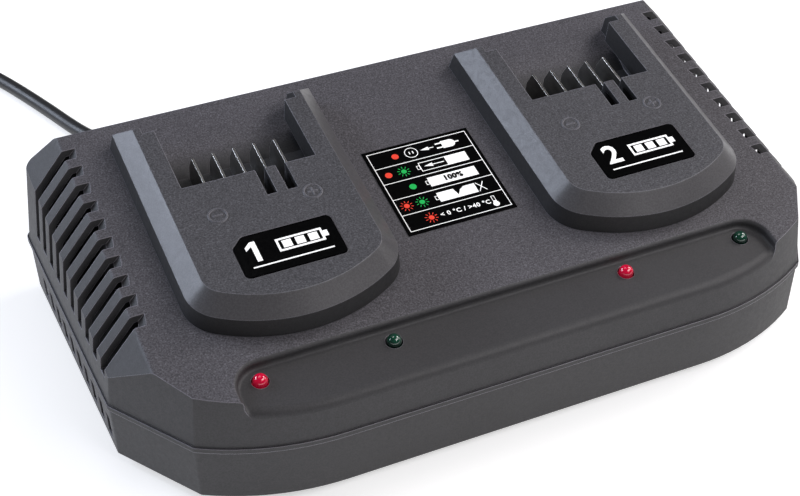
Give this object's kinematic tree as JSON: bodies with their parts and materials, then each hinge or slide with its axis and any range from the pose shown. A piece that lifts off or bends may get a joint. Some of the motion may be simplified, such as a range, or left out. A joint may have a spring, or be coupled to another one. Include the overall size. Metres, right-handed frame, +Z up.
{
  "type": "power tool battery charger",
  "caption": "Dual-bay charger for slide-on power tool batteries: low wedge case, two raised docks with upright contact blades, status lamps and label, side vents, mains cord.",
  "frame": {"origin": "on the floor under the middle of the case, at the level of the feet", "axes": "+X to the right along the case, +Y from the lamps at the front to the cord at the back, +Z up"},
  "size_m": [0.3881, 0.3509, 0.0769],
  "materials": {
    "upper_case": "charcoal glass-filled nylon with a fine speckled mould texture",
    "lower_case": "charcoal glass-filled nylon, smoother than the deck",
    "dock": "charcoal glass-filled nylon, textured top and satin bevels",
    "badge": "black glossy plate with plain white marks",
    "label": "black foil label with white, red and green status marks",
    "blades": "nickel-plated strip",
    "terminal_block": "black moulded insulator",
    "red_lamp": "clear-bodied red epoxy",
    "green_lamp": "tinted dark green epoxy, unlit",
    "circuit_board": "green solder mask on glass epoxy",
    "screws": "zinc-plated",
    "core": "laminated iron, varnished",
    "winding": "yellow polyester tape over copper",
    "heat_sink": "extruded aluminium",
    "electronics": "black epoxy packages",
    "capacitor": "dark blue shrink sleeve",
    "relay": "blue relay cap",
    "fuse": "clear glass tube",
    "clips": "tinned brass clips",
    "terminal": "green terminal strip",
    "wires": "insulated stranded leads",
    "clamp": "black nylon",
    "feet": "black rubber",
    "cord": "black flexible jacket, satin",
    "sleeve": "black rubber sleeve",
    "tie": "dark rubber strap",
    "plug": "black moulded plug",
    "pins": "nickel-plated brass"
  },
  "bodies": {
    "root": {"board_screws": "screws", "clamp_screws": "screws", "control_chips": "electronics", "cord_clamp": "clamp", "cord_coil": "cord", "cord_tail": "cord", "cord_tie": "tie", "dock_screws": "screws", "fuse_clips": "clips", "housing_screws": "screws", "lamp_board": "circuit_board", "lamp_board_screws": "screws", "left_contact_blades": "blades", "left_dock": "dock", "left_dock_leads": "wires", "left_dock_plate": "badge", "left_green_lamp": "green_lamp", "left_heat_sink": "heat_sink", "left_red_lamp": "red_lamp", "left_terminal_block": "terminal_block", "lower_housing": "lower_case", "main_board": "circuit_board", "mains_cord": "cord", "mains_fuse": "fuse", "mains_leads": "wires", "mains_terminal": "terminal", "plug_body": "plug", "plug_pins": "pins", "power_transistors": "electronics", "relays": "relay", "right_contact_blades": "blades", "right_dock": "dock", "right_dock_leads": "wires", "right_dock_plate": "badge", "right_green_lamp": "green_lamp", "right_heat_sink": "heat_sink", "right_red_lamp": "red_lamp", "right_terminal_block": "terminal_block", "rubber_feet": "feet", "smoothing_capacitors": "capacitor", "status_label": "label", "strain_relief": "sleeve", "transformer_core": "core", "transformer_screws": "screws", "transformer_winding": "winding", "upper_housing": "upper_case"}
  },
  "joints": []
}
